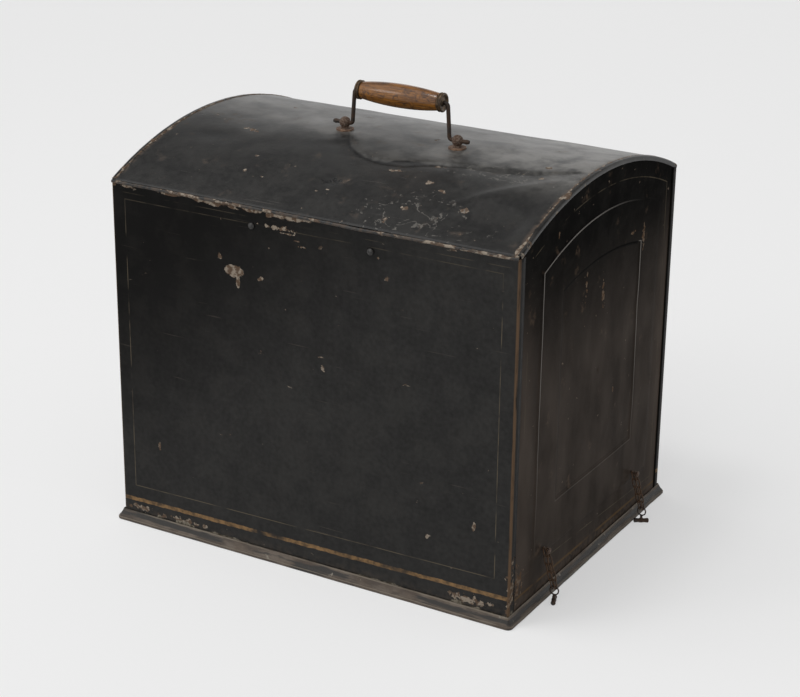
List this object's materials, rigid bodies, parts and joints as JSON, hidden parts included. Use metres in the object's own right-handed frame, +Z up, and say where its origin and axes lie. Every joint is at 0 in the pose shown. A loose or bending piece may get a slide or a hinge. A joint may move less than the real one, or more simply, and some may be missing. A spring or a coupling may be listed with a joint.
{
  "type": "mimeograph",
  "caption": "Rotary stencil duplicator under a lift-off domed japanned tin cover with a wood-gripped bail handle, foot moulding and toggles on short chains; crank, cylinders and rollers inside.",
  "frame": {"origin": "middle of the foot on the table, under the cover", "axes": "+X along the front towards the crank end, +Y from the front wall to the back, +Z up"},
  "size_m": [0.5042, 0.3672, 0.4692],
  "materials": {
    "japanned_tin": "worn gloss japan",
    "worn_moulding": "worn",
    "handle_iron": "dark, rusted",
    "grip_wood": "varnished",
    "chain_iron": "rusted",
    "board_wood": "oiled",
    "frame_enamel": "gloss enamel",
    "bright_steel": "turned",
    "bronze": "satin",
    "gear_iron": "machined",
    "silk_screen": "woven",
    "roller_rubber": "matt",
    "ink_composition": "inked",
    "feed_wood": "varnished",
    "tray_tin": "japanned",
    "nickel": "plated"
  },
  "bodies": {
    "base": {"baseboard": "board_wood", "toggle_plates": "handle_iron", "left_side_frame": "frame_enamel", "right_side_frame": "frame_enamel", "frame_bolts": "bright_steel", "tie_rods": "bright_steel", "tie_nuts": "bright_steel", "cylinder_bushes": "bronze", "idler_stud": "bright_steel", "screen_band": "silk_screen", "feed_board": "feed_wood", "feed_board_brackets": "frame_enamel", "receiving_tray": "tray_tin", "tray_brackets": "frame_enamel"},
    "cover": {"front_panel": "japanned_tin", "rear_panel": "japanned_tin", "left_end_panel": "japanned_tin", "right_end_panel": "japanned_tin", "dome_panel": "japanned_tin", "foot_moulding": "worn_moulding", "handle_washers": "handle_iron", "handle_studs": "handle_iron", "handle_nuts": "handle_iron", "chain_nails": "handle_iron"},
    "bail": {"handle_bail": "handle_iron"},
    "grip": {"handle_grip": "grip_wood", "grip_caps": "handle_iron"},
    "lower_cylinder": {"lower_drum": "bright_steel", "lower_shaft": "bright_steel", "lower_gear": "gear_iron", "crank_arm": "frame_enamel", "crank_pin": "bright_steel"},
    "upper_cylinder": {"upper_drum": "bright_steel", "upper_shaft": "bright_steel", "upper_gear": "gear_iron"},
    "idler": {"idler_gear": "gear_iron"},
    "crank_handle": {"crank_grip": "grip_wood"},
    "ink_roller_front": {"front_ink_roller": "ink_composition"},
    "ink_roller_rear": {"rear_ink_roller": "ink_composition"},
    "yoke": {"yoke_arms": "frame_enamel", "yoke_shaft": "bright_steel", "throw_off_lever": "frame_enamel"},
    "impression": {"impression_roller": "roller_rubber", "impression_spindle": "bright_steel"},
    "guide_left": {"left_side_guide": "nickel", "left_guide_nut": "nickel"},
    "guide_right": {"right_side_guide": "nickel", "right_guide_nut": "nickel"},
    "chain_link_front_right": {"chain_front_right": "chain_iron"},
    "toggle_bar_front_right": {"toggle_front_right": "chain_iron"},
    "chain_link_front_left": {"chain_front_left": "chain_iron"},
    "toggle_bar_front_left": {"toggle_front_left": "chain_iron"},
    "chain_link_rear_right": {"chain_rear_right": "chain_iron"},
    "toggle_bar_rear_right": {"toggle_rear_right": "chain_iron"},
    "chain_link_rear_left": {"chain_rear_left": "chain_iron"},
    "toggle_bar_rear_left": {"toggle_rear_left": "chain_iron"}
  },
  "joints": [
    {"name": "cover_lift", "type": "slide", "parent": "base", "child": "cover", "axis": [0, 0, 1], "range_m": [0, 0.42]},
    {"name": "bail_swing", "type": "hinge", "parent": "cover", "child": "bail", "pos_m": [0.01, -0.015, 0.42123], "axis": [1, 0, 0], "range_deg": [-82, 86]},
    {"name": "grip_spin", "type": "hinge", "parent": "bail", "child": "grip", "pos_m": [0.01, -0.015, 0.45722], "axis": [1, 0, 0], "continuous": true},
    {"name": "lower_cylinder_spin", "type": "hinge", "parent": "base", "child": "lower_cylinder", "pos_m": [0, 0, 0.14], "axis": [1, 0, 0], "continuous": true},
    {"name": "upper_cylinder_spin", "type": "hinge", "parent": "base", "child": "upper_cylinder", "pos_m": [0, 0, 0.252], "axis": [1, 0, 0], "continuous": true},
    {"name": "idler_spin", "type": "hinge", "parent": "base", "child": "idler", "pos_m": [-0.153, 0, 0.196], "axis": [1, 0, 0], "continuous": true},
    {"name": "front_ink_roller_spin", "type": "hinge", "parent": "base", "child": "ink_roller_front", "pos_m": [0, -0.03023, 0.30886], "axis": [1, 0, 0], "continuous": true},
    {"name": "rear_ink_roller_spin", "type": "hinge", "parent": "base", "child": "ink_roller_rear", "pos_m": [0, 0.03023, 0.30886], "axis": [1, 0, 0], "continuous": true},
    {"name": "crank_grip_spin", "type": "hinge", "parent": "lower_cylinder", "child": "crank_handle", "pos_m": [0.185, 0, 0.07], "axis": [1, 0, 0], "continuous": true},
    {"name": "yoke_swing", "type": "hinge", "parent": "base", "child": "yoke", "pos_m": [0, 0.062, 0.05], "axis": [-1, 0, 0], "range_deg": [0, 3.4]},
    {"name": "impression_roller_spin", "type": "hinge", "parent": "yoke", "child": "impression", "pos_m": [0, 0, 0.0689], "axis": [1, 0, 0], "continuous": true},
    {"name": "left_guide_slide", "type": "slide", "parent": "base", "child": "guide_left", "axis": [1, 0, 0], "range_m": [0, 0.04]},
    {"name": "right_guide_slide", "type": "slide", "parent": "base", "child": "guide_right", "axis": [-1, 0, 0], "range_m": [0, 0.04]},
    {"name": "chain_swing_front_right", "type": "hinge", "parent": "cover", "child": "chain_link_front_right", "pos_m": [0.2325, -0.108, 0.055], "axis": [1, 0, 0], "range_deg": [-60, 60]},
    {"name": "toggle_swing_front_right", "type": "hinge", "parent": "chain_link_front_right", "child": "toggle_bar_front_right", "pos_m": [0.2444, -0.108, 0.0177], "axis": [1, 0, 0], "range_deg": [-45, 45]},
    {"name": "chain_swing_front_left", "type": "hinge", "parent": "cover", "child": "chain_link_front_left", "pos_m": [-0.2325, -0.108, 0.055], "axis": [1, 0, 0], "range_deg": [-60, 60]},
    {"name": "toggle_swing_front_left", "type": "hinge", "parent": "chain_link_front_left", "child": "toggle_bar_front_left", "pos_m": [-0.2444, -0.108, 0.0177], "axis": [1, 0, 0], "range_deg": [-45, 45]},
    {"name": "chain_swing_rear_right", "type": "hinge", "parent": "cover", "child": "chain_link_rear_right", "pos_m": [0.2325, 0.1, 0.055], "axis": [1, 0, 0], "range_deg": [-60, 60]},
    {"name": "toggle_swing_rear_right", "type": "hinge", "parent": "chain_link_rear_right", "child": "toggle_bar_rear_right", "pos_m": [0.2444, 0.1, 0.0177], "axis": [1, 0, 0], "range_deg": [-45, 45]},
    {"name": "chain_swing_rear_left", "type": "hinge", "parent": "cover", "child": "chain_link_rear_left", "pos_m": [-0.2325, 0.1, 0.055], "axis": [1, 0, 0], "range_deg": [-60, 60]},
    {"name": "toggle_swing_rear_left", "type": "hinge", "parent": "chain_link_rear_left", "child": "toggle_bar_rear_left", "pos_m": [-0.2444, 0.1, 0.0177], "axis": [1, 0, 0], "range_deg": [-45, 45]}
  ],
  "couplings": [
    {"joint": "upper_cylinder_spin", "follows": "lower_cylinder_spin", "ratio": 1},
    {"joint": "idler_spin", "follows": "lower_cylinder_spin", "ratio": -1.8},
    {"joint": "front_ink_roller_spin", "follows": "lower_cylinder_spin", "ratio": -3.9308},
    {"joint": "rear_ink_roller_spin", "follows": "lower_cylinder_spin", "ratio": -3.9308}
  ]
}
